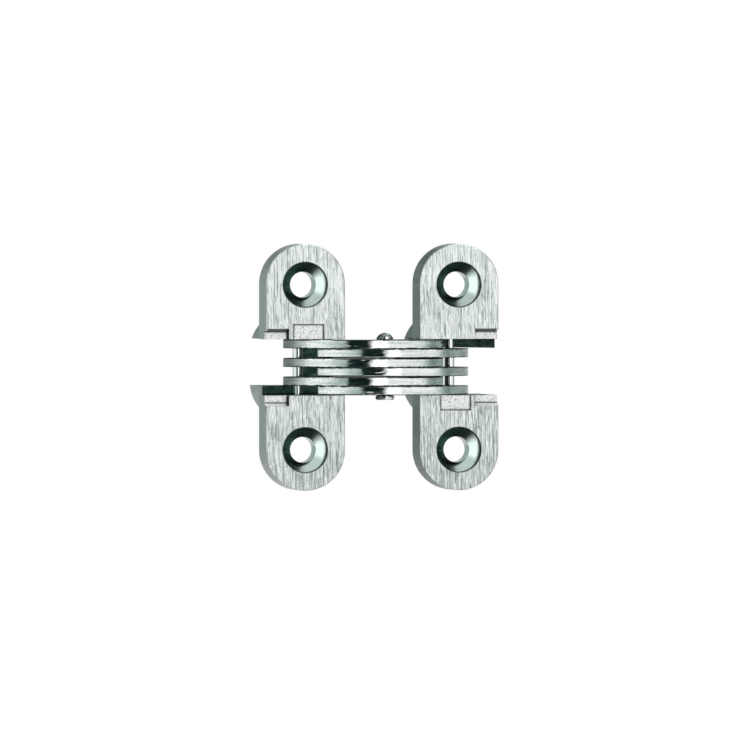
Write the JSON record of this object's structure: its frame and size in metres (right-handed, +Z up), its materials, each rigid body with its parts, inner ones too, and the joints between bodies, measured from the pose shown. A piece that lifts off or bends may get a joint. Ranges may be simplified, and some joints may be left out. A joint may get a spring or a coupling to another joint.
{
  "type": "concealed door hinge",
  "caption": "Concealed invisible hinge: two slim mortised leaves joined by interleaved curved links that fold into their pockets, so the closed door hides it.",
  "frame": {"origin": "middle of the frame leaf's two screw holes, level with the backs of its ears, which bed on the shoulders of the mortise", "axes": "+Z up along every pin of the upright hinge, +X from the frame leaf to the door leaf with the hinge open flat, +Y into the frame and the door"},
  "size_m": [0.0373, 0.0201, 0.039],
  "materials": {
    "cast_leaf": "die-cast zinc, satin chrome plated, faces brushed lengthwise",
    "link_plate": "pressed steel, bright nickel plated",
    "pin_steel": "drawn steel, bright nickel plated"
  },
  "bodies": {
    "frame_side": {"frame_leaf": "cast_leaf", "frame_pivot_pin": "pin_steel"},
    "frame_links": {"frame_link_1": "link_plate", "frame_link_2": "link_plate", "frame_link_3": "link_plate", "door_slider_pin": "pin_steel"},
    "door_links": {"door_link_1": "link_plate", "door_link_2": "link_plate", "door_link_3": "link_plate", "frame_slider_pin": "pin_steel", "centre_rivet": "pin_steel"},
    "door_side": {"door_leaf": "cast_leaf", "door_pivot_pin": "pin_steel"}
  },
  "joints": [
    {"name": "frame_pivot_turn", "type": "hinge", "parent": "frame_side", "child": "frame_links", "pos_m": [0.00466, -0.0001, 0], "axis": [0, 0, -1], "range_deg": [0, 96.06]},
    {"name": "knuckle_turn", "type": "hinge", "parent": "frame_links", "child": "door_links", "pos_m": [0.01232, -0.0088, 0], "axis": [0, 0, -1], "range_deg": [-12.11, 0]},
    {"name": "door_pivot_turn", "type": "hinge", "parent": "door_links", "child": "door_side", "pos_m": [0.01998, -0.0001, 0], "axis": [0, 0, -1], "range_deg": [0, 96.06]}
  ],
  "couplings": [
    {"joint": "knuckle_turn", "follows": "frame_pivot_turn", "ratio": -0.12608},
    {"joint": "door_pivot_turn", "follows": "frame_pivot_turn", "ratio": 1}
  ]
}
